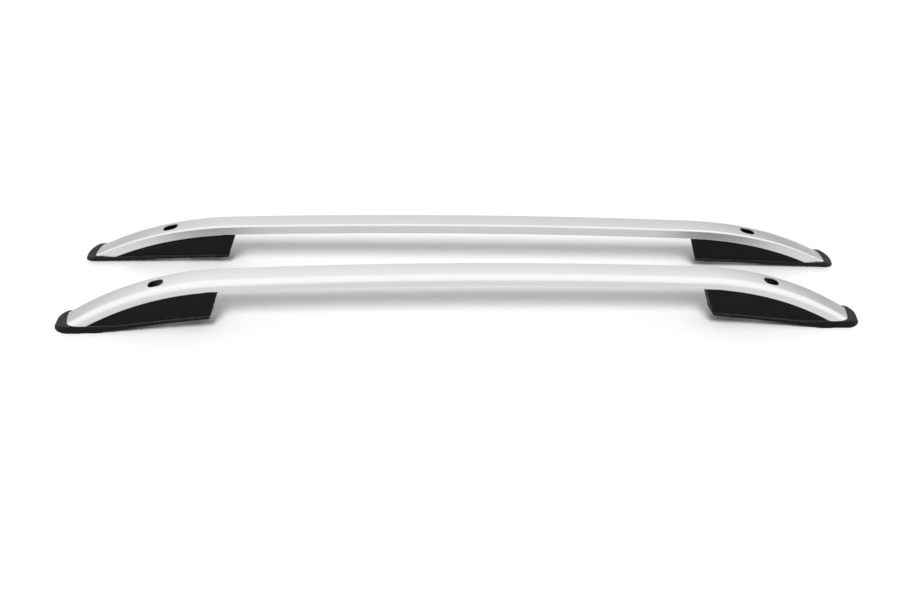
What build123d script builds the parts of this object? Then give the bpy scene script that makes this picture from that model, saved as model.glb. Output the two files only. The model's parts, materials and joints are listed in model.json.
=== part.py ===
from build123d import *

import os
from math import asin, atan, cos, degrees, radians, sin, sqrt, tan

# A pair of raised side rails for a car roof. Each rail is a bent hollow aluminium extrusion that
# comes down at both ends onto a moulded foot and a rubber base pad. Inside each foot a folded
# bracket stands on the roof, and one screw, reached through the access hole in the rail, clamps
# the foot to it.
# Frame: millimetres, +X along the rails to the front, +Y to the left rail, +Z up, with the origin
# in the middle of the pair on the surface that the base pads stand on.

# The pair
pair_spacing = 187.0        # between the leaning planes of the two rails, on the floor
pair_stagger = 6.5          # the left rail lies this far ahead of the right one
toe_angle = 0.6             # each rail turns in towards the front
lean_angle = 11.6           # each rail leans towards the other

# Roof that the base pads are moulded to: it falls to the rail's ends, more on the shoulder side
roof_outer_end = 32.5       # height under the foot's inner end, on the shoulder side
roof_outer_tip = -10.5      # height under the rail's nose, on the shoulder side
roof_inner_end = 21.5       # the same two heights on the crease side
roof_inner_tip = 3.0

# Path of the rail's crease in its leaning plane: gentle middle arc, end bend, straight tail
arch_height = 129.5
middle_radius = 12400.0
middle_half = 510.0
bend_radius = 665.0
end_slope = 29.5

# Section of the extrusion
section_width = 53.5
section_height = 23.0       # at the crease
crown_radius = 250.0        # gentle crown of the top
crown_offset = 12.0         # crest of the crown, in from the crease
shoulder_radius = 17.5
crease_radius = 4.5
lower_radius = 2.5
rail_wall = 2.5

# Base pad
pad_end_thickness = 8.5     # under the inner end of the foot
pad_tip_thickness = 12.5    # towards the rail's nose
pad_level = 18.0            # level top around the rail's nose
pad_outer_ledge = 2.0       # beyond the foot, on the shoulder side of the rail
pad_inner_ledge = 2.0       # beyond the foot, on the crease side of the rail
pad_nose_ledge = 26.5       # beyond the rail's nose
pad_tip_outer_radius = 36.0  # rounding of the tip, on the shoulder side of the rail
pad_tip_inner_radius = 20.0  # the same on the crease side

# Foot moulding
foot_outer_inset = 1.5      # from the rail's lower outer edge
foot_inner_inset = 2.5      # from the rail's lower inner edge
foot_setback = 20.0         # inner end of the foot on the pad, out from the start of the bend
foot_tip_gap = 55.0         # outer end of the foot, in from the rail's nose
foot_end_rake = 20.0        # the inner end leans in under the rail
foot_corner_radius = 3.0
foot_wall = 3.0
foot_roof = 3.0
foot_nose = 24.0            # solid outer end
rib_thickness = 2.5
rib_pitch = 36.0
rib_count = 3               # on each side of the screw well
rib_lift = 8.0              # lower edge of the ribs above the pad

# Fixing to the roof
fixing_setback = 134.0      # along the rail, out from the start of the bend
fixing_shift = 7.5          # both fixings of a rail lie this far ahead of their middle places
fixing_offset = -5.0        # across the rail from its leaning plane, on the roof
access_length = 34.0
access_width = 20.5
access_offset = 2.0         # from the screw's axis to the crease side
well_radius = 13.5
well_wall = 2.5
seat_thickness = 4.0
bolt_clearance = 0.5

# Roof bracket, folded from one sheet
bracket_sheet = 2.5
bracket_length = 104.0
bracket_width = 28.0
bracket_height = 28.0
bracket_corner = 4.0
bracket_gap = 1.0           # to the inner side of the foot's wall
tab_length = 30.0
tab_depth = 22.0
slot_length = 22.0
slot_width = 5.5
slot_station = 37.0
hole_radius = 3.25
hole_station = 17.0
row_spacing = 14.0
cross_slot_length = 15.0
cross_slot_width = 4.5

# Cap screw, washer and clip nut
bolt_radius = 4.0
bolt_length = 30.0
bolt_head_radius = 6.5
bolt_head_height = 8.0
hex_key = 6.0
hex_depth = 4.0
washer_radius = 12.0
washer_thickness = 2.0
nut_sheet = 1.0
nut_width = 20.0
nut_barrel_radius = 6.5
nut_barrel_length = 7.0
nut_fold_gap = 0.2
thread_clearance = 0.05

# Tapping screws between foot and rail
tapping_radius = 2.1
tapping_length = 10.0
tapping_head_radius = 4.2
tapping_head_height = 2.8
tapping_clearance = 0.5
tapping_inward = 71.0       # from the fixing along the rail, one screw each way
tapping_outward = 80.0
tapping_offset = 38.0       # across the section from the crease

# Values worked out from the sizes above
middle_angle = degrees(asin(middle_half / middle_radius))
bend_centre_x = middle_half - bend_radius * sin(radians(middle_angle))
bend_centre_z = arch_height - middle_radius + (middle_radius - bend_radius) * cos(radians(middle_angle))
bend_end = bend_centre_x + bend_radius * sin(radians(end_slope))
bend_end_height = bend_centre_z + bend_radius * cos(radians(end_slope))
lean_cos = cos(radians(lean_angle))
lean_sin = sin(radians(lean_angle))
lean_tan = tan(radians(lean_angle))
tail_run = (bend_end_height - pad_level / lean_cos) / tan(radians(end_slope))
tail_length = tail_run / cos(radians(end_slope)) + section_height
nose_station = bend_end + tail_run
half_length = nose_station + pad_nose_ledge
foot_inner_end = middle_half + foot_setback
foot_outer_end = nose_station - foot_tip_gap
fixing_station = middle_half + fixing_setback
seat_height = ((roof_outer_end + roof_inner_end) / 2 + pad_end_thickness) / lean_cos
rake_run = seat_height * tan(radians(foot_end_rake))
reach = 2 * section_width
foot_outer = section_height * lean_sin - section_width * lean_cos + foot_outer_inset
foot_inner = section_height * lean_sin - foot_inner_inset
seat_level = bracket_height + nut_sheet
washer_level = seat_level + seat_thickness
head_level = washer_level + washer_thickness
leaning = Rot(-lean_angle, 0, 0)


def roof_line(across, end_gap, tip_gap):
    """Roof along the rail at a place across it, raised by gaps: height at the middle, and fall factor."""
    share = (across - foot_outer) / (foot_inner - foot_outer)
    end_height = roof_outer_end + share * (roof_inner_end - roof_outer_end) + end_gap
    tip_height = roof_outer_tip + share * (roof_inner_tip - roof_outer_tip) + tip_gap
    fall = (end_height - tip_height) / (nose_station ** 2 - foot_inner_end ** 2)
    return end_height + fall * foot_inner_end ** 2, fall


def fixing_frame(station):
    """Frame on the roof under the fixing of one end, square to the roof along the rail."""
    top, fall = roof_line(fixing_offset, 0, 0)
    slope = degrees(atan(2 * fall * station))
    return Pos(station, fixing_offset, top - fall * station ** 2) * Rot(0, slope, 0)


fixing_height = fixing_frame(fixing_station).position.Z
wall_low = (foot_inner - foot_wall) / lean_cos + fixing_height * lean_tan - fixing_offset - bracket_gap
wall_high = wall_low + bracket_height * lean_tan


def rounded(sketch, corner, radius):
    """Round the corner of a sketch that lies nearest to a point."""
    return fillet(sketch.vertices().sort_by_distance(corner)[0], radius)


def rail_section(inset):
    """Section of the rail, crease at the origin and shoulder on the left; inset draws the hollow."""
    left = inset - section_width
    low = inset - section_height
    crown = crown_radius - inset
    centre = -sqrt(crown_radius ** 2 - crown_offset ** 2)
    top = []
    for across in (-inset, (left - inset) / 2, left):
        top.append((across, centre + sqrt(crown ** 2 - (across + crown_offset) ** 2)))
    right_corner, _, left_corner = top
    lower = max(lower_radius - inset, lower_radius / 8)
    crease = max(crease_radius - inset, lower)
    fall = degrees(asin((-left - crown_offset) / crown))
    room = (left_corner[1] - low - 1.1 * lower) / tan(radians(45 - fall / 2))
    shoulder = min(shoulder_radius - inset, room)
    sides = Polyline(left_corner, (left, low), (-inset, low), right_corner)
    sketch = make_face([ThreePointArc(*top), sides])
    sketch = rounded(sketch, left_corner, shoulder)
    sketch = rounded(sketch, right_corner, crease)
    sketch = rounded(sketch, (left, low), lower)
    return rounded(sketch, (-inset, low), lower)


def on_path(station):
    """Frame on the end bend: X across to the crease side, Y up from the crease, Z along the path."""
    angle = asin((station - bend_centre_x) / bend_radius)
    height = bend_centre_z + bend_radius * cos(angle)
    plane = Plane((station, 0, height), x_dir=(0, 1, 0), z_dir=(cos(angle), 0, -sin(angle)))
    return plane.location * Rot(0, 0, lean_angle)


def bent_half(section):
    """A section carried along the front half of the path, with the leaning plane upright."""
    start = Plane((0, 0, arch_height), x_dir=(0, 1, 0), z_dir=(1, 0, 0)).location * Rot(0, 0, lean_angle)
    middle_axis = Axis((0, 0, arch_height - middle_radius), (0, 1, 0))
    bend_axis = Axis((bend_centre_x, 0, bend_centre_z), (0, 1, 0))
    middle = revolve(start * section, middle_axis, middle_angle)
    bend = revolve(on_path(middle_half) * section, bend_axis, end_slope - middle_angle)
    tail = extrude(on_path(bend_end) * section, tail_length)
    return middle + bend + tail


def above_rail(gap):
    """Everything above the rail's underside, lowered by a gap, along the front half."""
    low = -section_height - gap
    block = Pos(-section_width / 2, low / 2 + reach / 2) * Rectangle(section_width + reach, reach - low)
    return bent_half(block)


def below_roof(end_gap, tip_gap, level):
    """Everything below the twisted roof, raised by gaps at the foot's inner end and the rail's nose,
    and below a level."""
    span = half_length + reach
    lines = []
    for across in (-reach, reach):
        top, fall = roof_line(across, end_gap, tip_gap)
        low = top - fall * span ** 2
        lines.append(ThreePointArc((-span, across, low), (0, across, top), (span, across, low)).edge())
    face = Face.make_surface_from_curves(lines[0], lines[1])
    depth = 2 * arch_height
    return extrude(face, depth, dir=(0, 0, -1)) + Pos(0, 0, level - depth / 2) * Box(2 * span, 2 * reach, depth)


def end_outline(inner_end, outer_end, outer_side, inner_side, inner_radius, tip_radii):
    """Plan outline at the front end of the rail, with the leaning plane upright; the tip has a radius
    for its outer and for its inner side."""
    width = inner_side - outer_side
    centre = Pos((outer_end + inner_end) / 2, (outer_side + inner_side) / 2)
    sketch = centre * Rectangle(outer_end - inner_end, width)
    room = min(1, 0.98 * width / sum(tip_radii))
    for side, tip_radius in zip((outer_side, inner_side), tip_radii):
        sketch = rounded(sketch, (inner_end, side), inner_radius)
        sketch = rounded(sketch, (outer_end, side), room * tip_radius)
    return sketch


def hollow_outline():
    """Plan outline of the space inside the foot's walls."""
    inner_end = foot_inner_end + foot_wall / cos(radians(foot_end_rake))
    outer_end = foot_outer_end - foot_nose
    radius = max(foot_corner_radius - foot_wall, foot_corner_radius / 4)
    return end_outline(inner_end, outer_end, foot_outer + foot_wall, foot_inner - foot_wall,
                       radius, (radius, radius))


def raked(outline):
    """An outline on the foot's seat, carried up and down along the rake of the foot's inner end."""
    rake = radians(foot_end_rake)
    base = Pos(arch_height * sin(rake), 0, seat_height - arch_height * cos(rake)) * outline
    return extrude(base, 2 * arch_height, dir=(-sin(rake), 0, cos(rake)))


def tapping_hole(station, radius, low, high):
    """Drill square to the rail's underside, from a level below it to a level above it."""
    drill = Rot(90, 0, 0) * Cylinder(radius, high - low)
    place = on_path(station) * Pos(-tapping_offset, -section_height + (low + high) / 2, 0)
    return leaning * (place * drill)


def make_rail():
    """Bent hollow extrusion, cut off on the pads, with an access hole and screw holes at each end."""
    section = rail_section(0) - rail_section(rail_wall)
    plain = leaning * bent_half(section)
    plain -= below_roof(pad_end_thickness, pad_tip_thickness, pad_level)
    access = extrude(SlotOverall(access_length, access_width), arch_height)
    halves = []
    for fixing in (fixing_station + fixing_shift, fixing_station - fixing_shift):
        half = plain - fixing_frame(fixing) * Pos(0, access_offset, head_level) * access
        for station in (fixing - tapping_inward, fixing + tapping_outward):
            half -= tapping_hole(station, tapping_radius + thread_clearance, -rail_wall, 2 * rail_wall)
        halves.append(half)
    return halves[0] + mirror(halves[1], Plane.YZ)


def make_base_pad():
    """Rubber pad under a foot and the rail's nose, open below the foot's hollow."""
    outline = end_outline(foot_inner_end, half_length - rake_run, foot_outer - pad_outer_ledge,
                          foot_inner + pad_inner_ledge, foot_corner_radius,
                          (pad_tip_outer_radius, pad_tip_inner_radius))
    pad = leaning * (raked(outline) - raked(hollow_outline()))
    pad &= below_roof(pad_end_thickness, pad_tip_thickness, pad_level)
    return pad - below_roof(0, 0, 0)


def make_foot(fixing):
    """Hollow moulding under the rail's end: walls, roof, screw well with its seat, ribs and web."""
    frame = fixing_frame(fixing)
    outline = end_outline(foot_inner_end, foot_outer_end, foot_outer, foot_inner,
                          foot_corner_radius, (foot_corner_radius, foot_corner_radius))
    envelope = leaning * (raked(outline) - above_rail(0))
    envelope -= below_roof(pad_end_thickness, pad_tip_thickness, pad_level)
    hollow = leaning * (raked(hollow_outline()) - above_rail(foot_roof))
    well_middle = Pos(0, 0, seat_level + arch_height / 2)
    tube = well_middle * Cylinder(well_radius + well_wall, arch_height)
    web = well_middle * Box(half_length, rib_thickness, arch_height)
    ribs = []
    for side in (-1, 1):
        for index in range(rib_count):
            station = fixing + side * (well_radius + well_wall + index * rib_pitch)
            ribs.append(Pos(station, 0, 0) * Box(rib_thickness, 2 * reach, 2 * arch_height))
    inside = Part() + ribs
    inside -= below_roof(pad_end_thickness + rib_lift, pad_tip_thickness + rib_lift, pad_level + rib_lift)
    bracket_room = Box(tab_length + 2 * bracket_sheet, 2 * reach, 2 * seat_level)
    inside -= frame * bracket_room
    inside += frame * (tube + web)
    foot = envelope - hollow
    foot += inside & envelope
    well = Pos(0, 0, washer_level + arch_height / 2) * Cylinder(well_radius, arch_height)
    bolt_hole = Pos(0, 0, washer_level) * Cylinder(bolt_radius + bolt_clearance, 3 * seat_thickness)
    foot -= frame * (well + bolt_hole)
    for station in (fixing - tapping_inward, fixing + tapping_outward):
        foot -= tapping_hole(station, tapping_radius + tapping_clearance, -2 * foot_roof, foot_roof)
        foot -= tapping_hole(station, tapping_head_radius + tapping_clearance, -4 * foot_roof, -foot_roof)
    return foot


def make_foot_screws(fixing):
    """Two pan-head tapping screws that hold the foot to the rail's lower wall."""
    shank = Pos(0, 0, tapping_length / 2) * Cylinder(tapping_radius, tapping_length)
    head = Pos(0, 0, -tapping_head_height / 2) * Cylinder(tapping_head_radius, tapping_head_height)
    head = chamfer(head.edges().group_by(Axis.Z)[0], tapping_head_height / 3)
    arm = Box(2 * tapping_radius, tapping_radius / 2, tapping_head_height)
    recess = Pos(0, 0, -tapping_head_height) * (arm + Rot(0, 0, 90) * arm)
    screw = head + shank - recess
    screws = []
    for station in (fixing - tapping_inward, fixing + tapping_outward):
        place = on_path(station) * Pos(-tapping_offset, -section_height - foot_roof, 0) * Rot(-90, 0, 0)
        screws.append(leaning * (place * screw))
    return Part() + screws


def make_bracket():
    """Slotted roof bracket: flat base, leaning wall on one edge, tab folded back over the base."""
    sheet = bracket_sheet
    inner_low = wall_low - sheet / lean_cos + sheet * lean_tan
    inner_high = wall_high - sheet / lean_cos - sheet * lean_tan
    under_tab = bracket_height - sheet
    edge = wall_low - bracket_width
    tab_edge = wall_high - tab_depth
    folded = make_face(Polyline(
        (edge, 0), (wall_low, 0), (wall_high, bracket_height), (tab_edge, bracket_height),
        (tab_edge, under_tab), (inner_high, under_tab), (inner_low, sheet), (edge, sheet), close=True))
    folded = rounded(folded, (wall_low, 0), 1.5 * sheet)
    folded = rounded(folded, (wall_high, bracket_height), 1.5 * sheet)
    folded = rounded(folded, (inner_low, sheet), sheet / 2)
    folded = rounded(folded, (inner_high, under_tab), sheet / 2)
    bracket = extrude(Plane.YZ * folded, tab_length / 2, both=True)
    base_width = bracket_width - 2 * sheet
    base = Pos(0, edge + base_width / 2, 0)
    bracket += base * extrude(RectangleRounded(bracket_length, base_width, bracket_corner), sheet)
    openings = Rot(0, 0, 90) * SlotOverall(cross_slot_length, cross_slot_width)
    for side in (-1, 1):
        for row in (-row_spacing / 2, row_spacing / 2):
            openings += Pos(side * slot_station, row) * SlotOverall(slot_length, slot_width)
            openings += Pos(side * hole_station, row) * Circle(hole_radius)
    bracket -= base * extrude(openings, sheet)
    bracket -= Pos(0, 0, under_tab) * Cylinder(bolt_radius + bolt_clearance, 4 * sheet)
    return bracket


def make_clip_nut():
    """Clip folded around the tab's free edge, with a threaded barrel under the tab."""
    fold = wall_high - tab_depth - nut_fold_gap
    low = bracket_height - bracket_sheet - nut_sheet
    far = nut_barrel_radius
    clip = make_face(Polyline(
        (fold - nut_sheet, low), (far, low), (far, low + nut_sheet), (fold, low + nut_sheet),
        (fold, bracket_height), (far, bracket_height), (far, seat_level), (fold - nut_sheet, seat_level),
        close=True))
    nut = extrude(Plane.YZ * clip, nut_width / 2, both=True)
    nut += Pos(0, 0, low - nut_barrel_length / 2) * Cylinder(nut_barrel_radius, nut_barrel_length)
    nut -= Cylinder(bolt_radius + thread_clearance, 4 * bracket_height)
    return nut


def make_washer():
    """Flat washer on the seat of the foot's well."""
    ring = Circle(washer_radius) - Circle(bolt_radius + bolt_clearance)
    return Pos(0, 0, washer_level) * extrude(ring, washer_thickness)


def make_cap_screw():
    """Socket cap screw, head on the washer and thread in the clip nut."""
    head = Pos(0, 0, bolt_head_height / 2) * Cylinder(bolt_head_radius, bolt_head_height)
    head = chamfer(head.edges().group_by(Axis.Z)[-1], bolt_head_height / 12)
    shank = Pos(0, 0, -bolt_length / 2) * Cylinder(bolt_radius, bolt_length)
    shank = chamfer(shank.edges().group_by(Axis.Z)[0], bolt_radius / 6)
    socket = RegularPolygon(hex_key / 2, 6, major_radius=False)
    screw = head + shank
    screw -= Pos(0, 0, bolt_head_height - hex_depth) * extrude(socket, 2 * hex_depth)
    return Pos(0, 0, head_level) * screw


# One rail, and the pieces of its front and rear ends in the rail's own frame
rail = make_rail()
base_pad = make_base_pad()
fixings = {
    "bracket": make_bracket(),
    "clip_nut": make_clip_nut(),
    "washer": make_washer(),
    "cap_screw": make_cap_screw(),
}
end_pieces = []
for fixing in (fixing_station + fixing_shift, fixing_station - fixing_shift):
    pieces = {"foot": make_foot(fixing), "base_pad": base_pad, "foot_screws": make_foot_screws(fixing)}
    for name, piece in fixings.items():
        pieces[name] = fixing_frame(fixing) * piece
    end_pieces.append(pieces)
ahead_pieces, behind_pieces = end_pieces

# Both rails in place, the left one turned round by half a turn
right_place = Pos(-pair_stagger / 2, -pair_spacing / 2, 0) * Rot(0, 0, toe_angle)
left_place = Pos(pair_stagger / 2, pair_spacing / 2, 0) * Rot(0, 0, 180 - toe_angle)

os.makedirs("parts", exist_ok=True)
for rail_side, place, ahead_end, behind_end in (
    ("right", right_place, "front", "rear"),
    ("left", left_place, "rear", "front"),
):
    export_step(place * rail, f"parts/{rail_side}_rail.step")
    for name, piece in ahead_pieces.items():
        export_step(place * piece, f"parts/{rail_side}_{ahead_end}_{name}.step")
    for name, piece in behind_pieces.items():
        export_step(place * mirror(piece, Plane.YZ), f"parts/{rail_side}_{behind_end}_{name}.step")
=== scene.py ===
import json
from math import cos, pi, radians, sin

import bmesh
import bpy
from mathutils import Matrix, Vector
from mathutils.bvhtree import BVHTree


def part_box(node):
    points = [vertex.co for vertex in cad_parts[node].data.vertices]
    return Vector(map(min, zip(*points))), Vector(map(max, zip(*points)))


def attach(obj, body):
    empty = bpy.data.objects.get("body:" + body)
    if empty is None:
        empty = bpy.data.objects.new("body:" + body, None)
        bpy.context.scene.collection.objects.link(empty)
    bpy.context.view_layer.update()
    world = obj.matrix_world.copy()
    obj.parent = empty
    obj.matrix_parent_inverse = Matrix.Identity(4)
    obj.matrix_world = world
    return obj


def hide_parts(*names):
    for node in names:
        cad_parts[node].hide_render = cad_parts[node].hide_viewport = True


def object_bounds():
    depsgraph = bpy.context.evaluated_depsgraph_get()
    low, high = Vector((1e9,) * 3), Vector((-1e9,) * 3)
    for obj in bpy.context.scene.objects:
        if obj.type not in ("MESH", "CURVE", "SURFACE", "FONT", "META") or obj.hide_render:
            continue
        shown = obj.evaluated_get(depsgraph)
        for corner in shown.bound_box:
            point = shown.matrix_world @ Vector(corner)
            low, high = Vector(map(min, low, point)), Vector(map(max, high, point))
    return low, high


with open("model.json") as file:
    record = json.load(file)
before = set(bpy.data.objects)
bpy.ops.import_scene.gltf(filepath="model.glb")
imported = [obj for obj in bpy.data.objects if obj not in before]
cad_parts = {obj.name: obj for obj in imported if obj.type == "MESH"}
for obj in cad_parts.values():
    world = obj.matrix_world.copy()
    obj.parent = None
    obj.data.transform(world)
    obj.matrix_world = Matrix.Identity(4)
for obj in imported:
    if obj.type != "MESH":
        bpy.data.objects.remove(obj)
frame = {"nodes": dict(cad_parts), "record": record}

cad_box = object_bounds()

# Camera, fitted to the outlines of both rails; metres and degrees in the row frame
CAMERA_PLACE = (-0.0894, -1.7720, 1.4155)
CAMERA_HEADING = 2.70       # from +Y towards +X
CAMERA_PITCH = 39.555       # down from level
CAMERA_ROLL = 1.73
FOCAL_PIXELS = 1013.6
IMAGE_WIDTH = 920
SENSOR_WIDTH = 36.0

# Materials: pairs go with a noise's low and high, scales are cells per metre, bumps are in metres
SATIN_COLOURS = ((0.672, 0.673, 0.676), (0.690, 0.691, 0.693))
SATIN_ROUGHNESS = (0.36, 0.42)
SATIN_CLOUD = {"scale": 9.0, "stretch": (0.4, 1, 1)}
SATIN_LINES = {"scale": 900.0, "stretch": (0.02, 1, 1), "detail": 2.0}
SATIN_GRAIN = {"scale": 2600.0, "detail": 2.0}
SATIN_BUMP = {"strength": 0.05, "distance": 0.00005}
# Painted shade: a dark base colour inside the rail's hollows, where its own walls shut a place in
PAINTED_HOLLOW_SHADE = (0.13, 0.13, 0.13)
HOLLOW_SHADE_REACH = 0.03          # metres within which walls shut a place in
HOLLOW_SHADE_SAMPLES = 8
HOLLOW_SHADE_FADE = (0.30, 0.65)   # open shares at which the painted shade starts to fade and is gone

PLASTIC_COLOURS = ((0.0085, 0.0085, 0.0088), (0.0125, 0.0125, 0.0128))
PLASTIC_ROUGHNESS = (0.45, 0.62)
PLASTIC_GLOSS = 0.04
PLASTIC_CLOUD = {"scale": 30.0}
PLASTIC_GRAIN = {"scale": 1500.0, "detail": 4.0}
PLASTIC_BUMP = {"strength": 0.35, "distance": 0.0002}

RUBBER_SIDE_COLOURS = ((0.004, 0.004, 0.004), (0.008, 0.008, 0.008))
# Painted light: the up-facing skin of the pads is coloured lighter than the sides, speckled by its
# pebbles
RUBBER_PAINTED_LIGHT_COLOURS = ((0.022, 0.022, 0.022), (0.075, 0.075, 0.074))
RUBBER_ROUGHNESS = (0.5, 0.75)
RUBBER_GLOSS = 0.1
RUBBER_CLOUD = {"scale": 60.0}
RUBBER_PEBBLES = {"scale": 420.0, "detail": 2.0}
RUBBER_GRAIN = {"scale": 900.0, "detail": 5.0}
RUBBER_BUMP = {"strength": 0.5, "distance": 0.0006}
RUBBER_PAINTED_LIGHT_FACING = (0.35, 0.75)    # upward parts of the normal at which the painted light on the skin starts and is full
RUBBER_PEBBLE_SPECKLE = (0.42, 0.72)      # heights of the pebbles between which the painted light turns from its darker to its lighter grey

ZINC_COLOURS = ((0.56, 0.57, 0.58), (0.66, 0.67, 0.68))
ZINC_ROUGHNESS = (0.28, 0.42)
ZINC_MOTTLE = {"scale": 500.0}

# Moulded rubber pads, in metres where not a share
MOULDING_VOXEL = 0.0012     # cells of the skin
MOULDING_SMOOTHING = 4      # rounds
SMOOTHING_FACTOR = 0.5
SIDE_FACING = 0.3           # least level part of the normal on a side
LIP_SHARE = 0.75            # share of the side's height at which the lip starts
LIP_FADE = 0.15             # share of the height over which the groove below it deepens
LIP_SWELL = 0.0010          # makes up for what the smoothing takes off the outline
LIP_GROOVE = 0.0014
FOOT_DRAW = 0.0022          # further draw of the sides at the bottom
TIP_FALL = 0.45             # share of its height that a pad loses from the rail's nose to its tip

# Cap screws, in metres
SCREW_RADIUS = 0.0040
SCREW_LENGTH = 0.0300
SCREW_PITCH = 0.00125
SCREW_STEPS = 48            # round the axis
THREAD_DEPTH = 0.00068
THREAD_ROWS = 6             # rings in one turn of the thread
THREAD_START = 2            # first of these rings, below the head
THREAD_FLAT = 0.125         # flat share of the crest
THREAD_NECK = 0.75          # share of the depth that is gone at both ends of the thread
HEAD_RADIUS = 0.0065
HEAD_HEIGHT = 0.0080
HEAD_BEVEL = (0.0007, 0.0006)   # in and down, round the top
SEAT_BEVEL = 0.0004
KNURL_DEPTH = 0.00025
KNURL_TOP = 0.0010          # below the top of the head
KNURL_FOOT = 0.0008         # above the seat
SOCKET_KEY = 0.0060         # across the flats
SOCKET_DEPTH = 0.0040
SOCKET_BEVEL = 0.0003

# Floor and light; a level of 1 lights a white surface to white
WHITE = (1, 1, 1)
FLOOR_HALF = 14.0
FLOOR_ROUGHNESS = 0.9
FLOOR_COLOUR = (0.93, 0.93, 0.93)
FLOOR_SEEN = (1.0, 1.0, 1.0)        # colour that the camera sees
FLOOR_MIRRORED = (0.72, 0.72, 0.72)     # colour that mirrors see, with even white added
FLOOR_EVEN = 0.28           # level of that white
BACKDROP_SEEN = 1.0         # level that the camera sees beyond the floor
KEY_ELEVATION = 58.0        # degrees above the floor, on the camera's side
KEY_SIDE = -6.0             # degrees round from the camera's side towards -X
KEY_SPREAD = 21.0           # width of the key light as seen from the part, degrees
KEY_LEVEL = 0.55            # its share of the floor's light
SKY_LEVEL = 0.67            # overhead
SKY_RISE = (0.1, 0.9)       # sines of the elevations at which the sky starts and is full

# What the metal mirrors: a long lamp overhead along X, and pale walls, the rear one dimmer below
LAMP_FRONT = (10.0, 36.0)   # elevations towards -Y at which it starts and is full
LAMP_REAR = (40.0, 50.0)    # the same towards +Y
LAMP_LEVEL = 1.44
SIDE_EDGE = (-0.35, 0.65)   # X of a direction at which the left wall ends and the right one is full
SIDE_LEVELS = (0.98, 0.81)  # walls from the left to the right
REAR_EDGE = (-0.1, 0.4)     # Y of a direction across X at which the rear wall starts and is full
WALL_DIM = 0.80             # loss of the rear wall at the floor, far to the sides
WALL_TOP = 0.50             # sine of the elevation at which the rear wall is full
WALL_MIDDLE = 0.08          # share of that loss in the middle
WALL_ASIDE = (0.02, 0.30)   # squares of X at which the loss starts to grow and is full


def new_material(name):
    """A node material, with its tree and its shader."""
    material = bpy.data.materials.new(name)
    material.use_nodes = True
    tree = material.node_tree
    return material, tree, tree.nodes["Principled BSDF"]


def add(tree, kind, **settings):
    """A node in a tree, with sockets set by name and other settings as attributes."""
    node = tree.nodes.new(kind)
    for key, value in settings.items():
        if key in node.inputs:
            node.inputs[key].default_value = value
        else:
            setattr(node, key, value)
    return node


def feed(tree, value, socket):
    """Gives a socket a link from another socket, a colour or a number."""
    if isinstance(value, bpy.types.NodeSocket):
        tree.links.new(value, socket)
    else:
        socket.default_value = (*value, 1) if isinstance(value, tuple) else value


def object_noise(tree, scale, stretch=(1, 1, 1), detail=3.0):
    """Noise in the row frame, stretched by axis; gives its factor socket."""
    place = add(tree, "ShaderNodeTexCoord")
    mapping = add(tree, "ShaderNodeMapping", Scale=stretch)
    noise = add(tree, "ShaderNodeTexNoise", Scale=scale, Detail=detail)
    feed(tree, place.outputs["Object"], mapping.inputs["Vector"])
    feed(tree, mapping.outputs["Vector"], noise.inputs["Vector"])
    return noise.outputs["Fac"]


def ranged(tree, value, target, source=(0.0, 1.0), kind="LINEAR"):
    """A value carried from one range to another."""
    node = add(tree, "ShaderNodeMapRange", interpolation_type=kind)
    for name, number in zip(("From Min", "From Max", "To Min", "To Max"), (*source, *target)):
        node.inputs[name].default_value = number
    feed(tree, value, node.inputs["Value"])
    return node.outputs["Result"]


def stepped(tree, value, source, target=(0.0, 1.0)):
    """A smooth step from one value to another."""
    return ranged(tree, value, target, source, "SMOOTHSTEP")


def blended(tree, factor, first, second, kind="RGBA"):
    """Two colours, or with kind FLOAT two levels, mixed by a factor."""
    node = add(tree, "ShaderNodeMix", data_type=kind)
    for name, value in (("Factor", factor), ("A", first), ("B", second)):
        feed(tree, value, node.inputs[name])
    return node.outputs["Result"]


def combined(tree, operation, first, second):
    """The result of an operation on two values."""
    node = add(tree, "ShaderNodeMath", operation=operation)
    feed(tree, first, node.inputs[0])
    feed(tree, second, node.inputs[1])
    return node.outputs["Value"]


def split(tree, vector):
    """The X, Y and Z of a vector, by name."""
    node = add(tree, "ShaderNodeSeparateXYZ")
    feed(tree, vector, node.inputs["Vector"])
    return node.outputs


def bumped(tree, shader, height, strength, distance):
    """Bump on a shader from a height socket."""
    node = add(tree, "ShaderNodeBump", Strength=strength, Distance=distance)
    feed(tree, height, node.inputs["Height"])
    feed(tree, node.outputs["Normal"], shader.inputs["Normal"])


def satin_aluminium():
    """Anodised extrusion: matt grain, faint lines along the rail, cloudy sheen, and painted shade
    inside its hollows.
    """
    material, tree, shader = new_material("satin_aluminium")
    feed(tree, 1.0, shader.inputs["Metallic"])
    satin = blended(tree, object_noise(tree, **SATIN_CLOUD), *SATIN_COLOURS)
    # Painted shade: the base colour goes dark where the rail's own walls close a place in
    open_air = add(tree, "ShaderNodeAmbientOcclusion", only_local=True,
                   Distance=HOLLOW_SHADE_REACH, samples=HOLLOW_SHADE_SAMPLES)
    outside = stepped(tree, open_air.outputs["AO"], HOLLOW_SHADE_FADE)
    feed(tree, blended(tree, outside, PAINTED_HOLLOW_SHADE, satin), shader.inputs["Base Color"])
    lines = object_noise(tree, **SATIN_LINES)
    feed(tree, ranged(tree, lines, SATIN_ROUGHNESS), shader.inputs["Roughness"])
    bumped(tree, shader, object_noise(tree, **SATIN_GRAIN), **SATIN_BUMP)
    return material


def moulded_plastic():
    """Black moulding with a fine spark-eroded grain."""
    material, tree, shader = new_material("moulded_plastic")
    cloud = object_noise(tree, **PLASTIC_CLOUD)
    feed(tree, blended(tree, cloud, *PLASTIC_COLOURS), shader.inputs["Base Color"])
    feed(tree, PLASTIC_GLOSS, shader.inputs["Specular IOR Level"])
    grain = object_noise(tree, **PLASTIC_GRAIN)
    feed(tree, ranged(tree, grain, PLASTIC_ROUGHNESS), shader.inputs["Roughness"])
    bumped(tree, shader, grain, **PLASTIC_BUMP)
    return material


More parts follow.
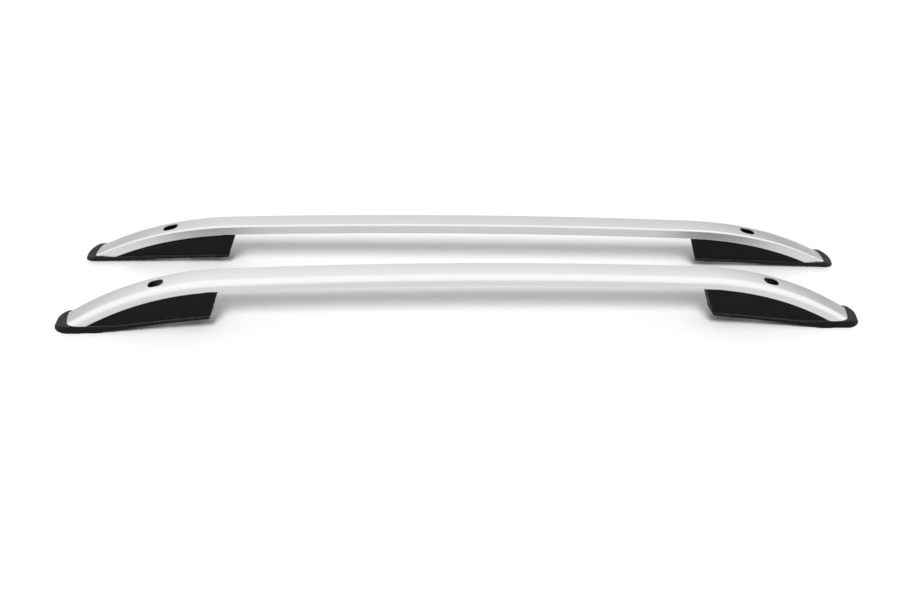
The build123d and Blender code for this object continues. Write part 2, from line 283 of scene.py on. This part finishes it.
def grained_rubber():
    """Dark rubber: smooth black sides, and painted light on its pebbled skin: a greyer colour where
    it faces up.
    """
    material, tree, shader = new_material("grained_rubber")
    normal = split(tree, add(tree, "ShaderNodeNewGeometry").outputs["True Normal"])
    pebbles = object_noise(tree, **RUBBER_PEBBLES)
    side = blended(tree, object_noise(tree, **RUBBER_CLOUD), *RUBBER_SIDE_COLOURS)
    # Painted light: the skin that faces up is coloured lighter, speckled by its pebbles
    top = blended(tree, stepped(tree, pebbles, RUBBER_PEBBLE_SPECKLE), *RUBBER_PAINTED_LIGHT_COLOURS)
    painted_light_mask = stepped(tree, normal["Z"], RUBBER_PAINTED_LIGHT_FACING)
    feed(tree, blended(tree, painted_light_mask, side, top), shader.inputs["Base Color"])
    feed(tree, RUBBER_GLOSS, shader.inputs["Specular IOR Level"])
    grain = object_noise(tree, **RUBBER_GRAIN)
    feed(tree, ranged(tree, grain, RUBBER_ROUGHNESS), shader.inputs["Roughness"])
    bumped(tree, shader, pebbles, **RUBBER_BUMP)
    return material


def zinc_steel():
    """Bright zinc plate with a fine crystalline mottle."""
    material, tree, shader = new_material("zinc_steel")
    feed(tree, 1.0, shader.inputs["Metallic"])
    mottle = object_noise(tree, **ZINC_MOTTLE)
    feed(tree, blended(tree, mottle, *ZINC_COLOURS), shader.inputs["Base Color"])
    feed(tree, ranged(tree, mottle, ZINC_ROUGHNESS), shader.inputs["Roughness"])
    return material


def dress(node_name, material):
    """A CAD node with a material of its own."""
    piece = frame["nodes"][node_name]
    piece.data.materials.clear()
    piece.data.materials.append(material)


def stand_in(piece, node_name):
    """A finished piece put in place of a node."""
    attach(piece, "root")
    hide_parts(node_name)


def clamped(value, least=0, most=1):
    """A value held between two limits."""
    return min(max(value, least), most)


def draw_in(mesh, low, high):
    """Long sides drawn in below a lip, more towards the bottom, all within a box."""
    form = bmesh.new()
    form.from_mesh(mesh)
    form.normal_update()
    skin = BVHTree.FromBMesh(form)
    up = Vector((0, 0, 1))
    moves = []
    for vertex in form.verts:
        level = Vector((vertex.normal.x, vertex.normal.y, 0))
        if level.length < SIDE_FACING:
            continue
        outward = level.normalized()
        inside = vertex.co - outward * 2 * MOULDING_VOXEL
        above = skin.ray_cast(inside, up)[0]
        below = skin.ray_cast(inside, -up)[0]
        top = vertex.co.z if above is None else above.z
        bottom = vertex.co.z if below is None else below.z
        share = (vertex.co.z - bottom) / max(top - bottom, MOULDING_VOXEL)
        groove = LIP_GROOVE * clamped((LIP_SHARE - share) / LIP_FADE)
        depth = groove + FOOT_DRAW * max(0, LIP_SHARE - share) / LIP_SHARE
        moves.append((vertex, level * (LIP_SWELL - depth * outward.y ** 2)))
    for vertex, move in moves:
        vertex.co = [clamped(*limits) for limits in zip(vertex.co + move, low, high)]
    form.to_mesh(mesh)
    form.free()


def taper_tip(mesh, nose, tip):
    """A top that falls from the rail's nose to the pad's tip, both along X."""
    for vertex in mesh.vertices:
        beyond = clamped((vertex.co.x - nose) / (tip - nose))
        vertex.co.z *= 1 - TIP_FALL * beyond


def moulded_pad(node_name, material):
    """A pad with every edge softly rounded, a lip and a falling tip, in place of its node."""
    source = frame["nodes"][node_name]
    piece = bpy.data.objects.new(f"{node_name}_moulding", source.data.copy())
    bpy.context.collection.objects.link(piece)
    piece.data.materials.clear()
    piece.data.materials.append(material)
    remesh = piece.modifiers.new("skin", "REMESH")
    remesh.mode = "VOXEL"
    remesh.voxel_size = MOULDING_VOXEL
    remesh.use_smooth_shade = True
    smooth = piece.modifiers.new("soften", "SMOOTH")
    smooth.factor = SMOOTHING_FACTOR
    smooth.iterations = MOULDING_SMOOTHING
    graph = bpy.context.evaluated_depsgraph_get()
    mesh = bpy.data.meshes.new_from_object(piece.evaluated_get(graph))
    piece.modifiers.clear()
    pad_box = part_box(node_name)
    rail_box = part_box(node_name.split("_")[0] + "_rail")
    end = 1 if "_front_" in node_name else 0
    draw_in(mesh, *pad_box)
    taper_tip(mesh, rail_box[end][0], pad_box[end][0])
    piece.data = mesh
    stand_in(piece, node_name)


def screw_rings():
    """A cap screw's angles round its axis, and its rings: a height, and a radius at each angle.

    The rings run from the bottom of the socket over the head and down the thread."""
    turns = range(SCREW_STEPS)
    angles = [2 * pi * step / SCREW_STEPS for step in turns]
    hexagon = [SOCKET_KEY / 2 / cos((angle + pi / 6) % (pi / 3) - pi / 6) for angle in angles]
    knurl = [HEAD_RADIUS - (KNURL_DEPTH if step % 2 else 0) for step in turns]

    def plain(radius):
        return [radius] * SCREW_STEPS

    top = HEAD_HEIGHT
    bevel_in, bevel_down = HEAD_BEVEL
    waist = plain(HEAD_RADIUS - KNURL_DEPTH)
    rings = [(top - SOCKET_DEPTH, hexagon),
             (top - SOCKET_BEVEL, hexagon),
             (top, [radius + SOCKET_BEVEL for radius in hexagon]),
             (top, plain(HEAD_RADIUS - bevel_in)),
             (top - bevel_down, waist),
             (top - KNURL_TOP, knurl),
             (KNURL_FOOT, knurl),
             (SEAT_BEVEL, waist),
             (0.0, plain(HEAD_RADIUS - SEAT_BEVEL)),
             (0.0, plain(SCREW_RADIUS))]
    rows = round(SCREW_LENGTH / SCREW_PITCH * THREAD_ROWS)
    for row in range(THREAD_START, rows):
        height = -SCREW_LENGTH * row / rows
        run_out = min(1, -height / SCREW_PITCH, (SCREW_LENGTH + height) / SCREW_PITCH)
        neck = max(0, THREAD_NECK - run_out)
        ring = []
        for step in turns:
            phase = (height / SCREW_PITCH + step / SCREW_STEPS) % 1
            slope = (1 + 2 * THREAD_FLAT) * (1 - abs(2 * phase - 1)) - THREAD_FLAT
            ring.append(SCREW_RADIUS - THREAD_DEPTH * (clamped(slope) * run_out + neck))
        rings.append((height, ring))
    rings.append((-SCREW_LENGTH, plain(SCREW_RADIUS - THREAD_DEPTH)))
    return angles, rings


def screw_axis(node_name):
    """Direction from a cap screw's point to its head, square to the base of its bracket."""
    hole = node_name.replace("cap_screw", "inner_hole")
    mount = next(mount for mount in frame["record"]["mounts"] if mount["name"] == hole)
    return -Vector(mount["axis"]).normalized()


def threaded_screw(node_name, material):
    """A cap screw with its socket, knurl and thread, in place of a plain one."""
    axis = screw_axis(node_name)
    side = axis.orthogonal().normalized()
    turn = Matrix((side, axis.cross(side), axis)).transposed()
    inside = [turn.transposed() @ v.co for v in frame["nodes"][node_name].data.vertices]
    low, high = (Vector(limit(v[i] for v in inside) for i in range(3)) for limit in (min, max))
    seat = turn @ Vector(((low.x + high.x) / 2, (low.y + high.y) / 2, high.z - HEAD_HEIGHT))

    angles, rings = screw_rings()
    form = bmesh.new()
    loops = []
    for height, radii in rings:
        spots = [Vector((r * cos(a), r * sin(a), height)) for a, r in zip(angles, radii)]
        loops.append([form.verts.new(seat + turn @ spot) for spot in spots])
    for upper, lower in zip(loops, loops[1:]):
        for step in range(SCREW_STEPS):
            beside = (step + 1) % SCREW_STEPS
            form.faces.new((lower[step], lower[beside], upper[beside], upper[step]))
    form.faces.new(loops[0])
    form.faces.new(loops[-1][::-1])
    bmesh.ops.recalc_face_normals(form, faces=form.faces)
    mesh = bpy.data.meshes.new(f"{node_name}_threaded")
    form.to_mesh(mesh)
    form.free()
    mesh.materials.append(material)
    piece = bpy.data.objects.new(f"{node_name}_threaded", mesh)
    bpy.context.collection.objects.link(piece)
    stand_in(piece, node_name)


def mirror_rays(tree, path):
    """1 for a ray that comes from a mirror or through glass, and 0 for any other."""
    return combined(tree, "MAXIMUM", path.outputs["Is Glossy Ray"],
                    path.outputs["Is Transmission Ray"])


def make_floor():
    """Wide pale floor under the part."""
    low, _ = cad_box
    bpy.ops.mesh.primitive_plane_add(size=2 * FLOOR_HALF, location=(0, 0, low[2]))
    floor = bpy.context.object
    floor.name = "floor"
    material, tree, shader = new_material("floor")
    path = add(tree, "ShaderNodeLightPath")
    mirrored = mirror_rays(tree, path)
    seen = blended(tree, path.outputs["Is Camera Ray"], FLOOR_COLOUR, FLOOR_SEEN)
    feed(tree, blended(tree, mirrored, seen, FLOOR_MIRRORED), shader.inputs["Base Color"])
    feed(tree, WHITE, shader.inputs["Emission Color"])
    even = combined(tree, "MULTIPLY", mirrored, FLOOR_EVEN)
    feed(tree, even, shader.inputs["Emission Strength"])
    feed(tree, FLOOR_ROUGHNESS, shader.inputs["Roughness"])
    feed(tree, 0.0, shader.inputs["Specular IOR Level"])
    floor.data.materials.append(material)


def make_world():
    """Surroundings: white to the camera, lamp and walls to mirrors, a graded sky as light."""
    world = bpy.data.worlds.new("studio")
    bpy.context.scene.world = world
    world.use_nodes = True
    tree = world.node_tree
    background = tree.nodes["Background"]
    feed(tree, WHITE, background.inputs["Color"])

    # Direction of a ray, and its turn round the X axis alone
    direction = add(tree, "ShaderNodeTexCoord").outputs["Generated"]
    across = add(tree, "ShaderNodeVectorMath", operation="MULTIPLY")
    across.inputs[1].default_value = (0, 1, 1)
    feed(tree, direction, across.inputs[0])
    upright = add(tree, "ShaderNodeVectorMath", operation="NORMALIZE")
    feed(tree, across.outputs["Vector"], upright.inputs[0])
    ray = split(tree, direction)
    turn = split(tree, upright.outputs["Vector"])

    # Walls
    rear = stepped(tree, turn["Y"], REAR_EDGE)
    dim = stepped(tree, turn["Z"], (0.0, WALL_TOP), (WALL_DIM, 0.0))
    outward = combined(tree, "MULTIPLY", ray["X"], ray["X"])
    aside = stepped(tree, outward, WALL_ASIDE, (WALL_MIDDLE, 1.0))
    loss = combined(tree, "MULTIPLY", combined(tree, "MULTIPLY", rear, dim), aside)
    walls = combined(tree, "SUBTRACT", stepped(tree, ray["X"], SIDE_EDGE, SIDE_LEVELS), loss)

    # Lamp
    front_edge = [-cos(radians(elevation)) for elevation in LAMP_FRONT]
    rear_edge = [cos(radians(elevation)) for elevation in reversed(LAMP_REAR)]
    lamp = combined(tree, "MULTIPLY", stepped(tree, turn["Y"], front_edge),
                    stepped(tree, turn["Y"], rear_edge, (1.0, 0.0)))
    mirrored = blended(tree, lamp, walls, LAMP_LEVEL, "FLOAT")

    # What each kind of ray sees
    path = add(tree, "ShaderNodeLightPath")
    sky = stepped(tree, ray["Z"], SKY_RISE, (0.0, SKY_LEVEL))
    level = blended(tree, mirror_rays(tree, path), sky, mirrored, "FLOAT")
    shown = blended(tree, path.outputs["Is Camera Ray"], level, BACKDROP_SEEN, "FLOAT")
    feed(tree, shown, background.inputs["Strength"])


def make_key():
    """One large soft key light, which mirrors don't show."""
    level, side = radians(KEY_ELEVATION), radians(KEY_SIDE)
    direction = Vector((cos(level) * sin(side), -cos(level) * cos(side), sin(level)))
    lamp = bpy.data.lights.new("key", "SUN")
    lamp.angle = radians(KEY_SPREAD)
    lamp.energy = pi * KEY_LEVEL / sin(level)
    key = bpy.data.objects.new("key", lamp)
    bpy.context.collection.objects.link(key)
    key.rotation_euler = direction.to_track_quat("Z", "Y").to_euler()
    key.visible_glossy = False


def make_camera():
    """Camera at the fitted place, turned by heading, pitch and roll."""
    heading, pitch, roll = (radians(a) for a in (CAMERA_HEADING, CAMERA_PITCH, CAMERA_ROLL))
    forward = Vector((cos(pitch) * sin(heading), cos(pitch) * cos(heading), -sin(pitch)))
    level_right = Vector((cos(heading), -sin(heading), 0))
    level_up = level_right.cross(forward)
    right = cos(roll) * level_right + sin(roll) * level_up
    up = right.cross(forward)
    data = bpy.data.cameras.new("camera")
    data.sensor_fit = "HORIZONTAL"
    data.sensor_width = SENSOR_WIDTH
    data.lens = FOCAL_PIXELS / IMAGE_WIDTH * SENSOR_WIDTH
    camera = bpy.data.objects.new("camera", data)
    bpy.context.collection.objects.link(camera)
    turn = Matrix((right, up, -forward)).transposed().to_4x4()
    camera.matrix_world = Matrix.Translation(CAMERA_PLACE) @ turn
    bpy.context.scene.camera = camera


aluminium = satin_aluminium()
plastic = moulded_plastic()
rubber = grained_rubber()
steel = zinc_steel()
for node_name in list(frame["nodes"]):
    if node_name.endswith("_rail"):
        dress(node_name, aluminium)
    elif node_name.endswith("_foot"):
        dress(node_name, plastic)
    elif node_name.endswith("_base_pad"):
        moulded_pad(node_name, rubber)
    elif node_name.endswith("_cap_screw"):
        threaded_screw(node_name, steel)
    else:
        dress(node_name, steel)

make_floor()
make_world()
make_key()
make_camera()
bpy.context.scene.view_settings.view_transform = "Standard"
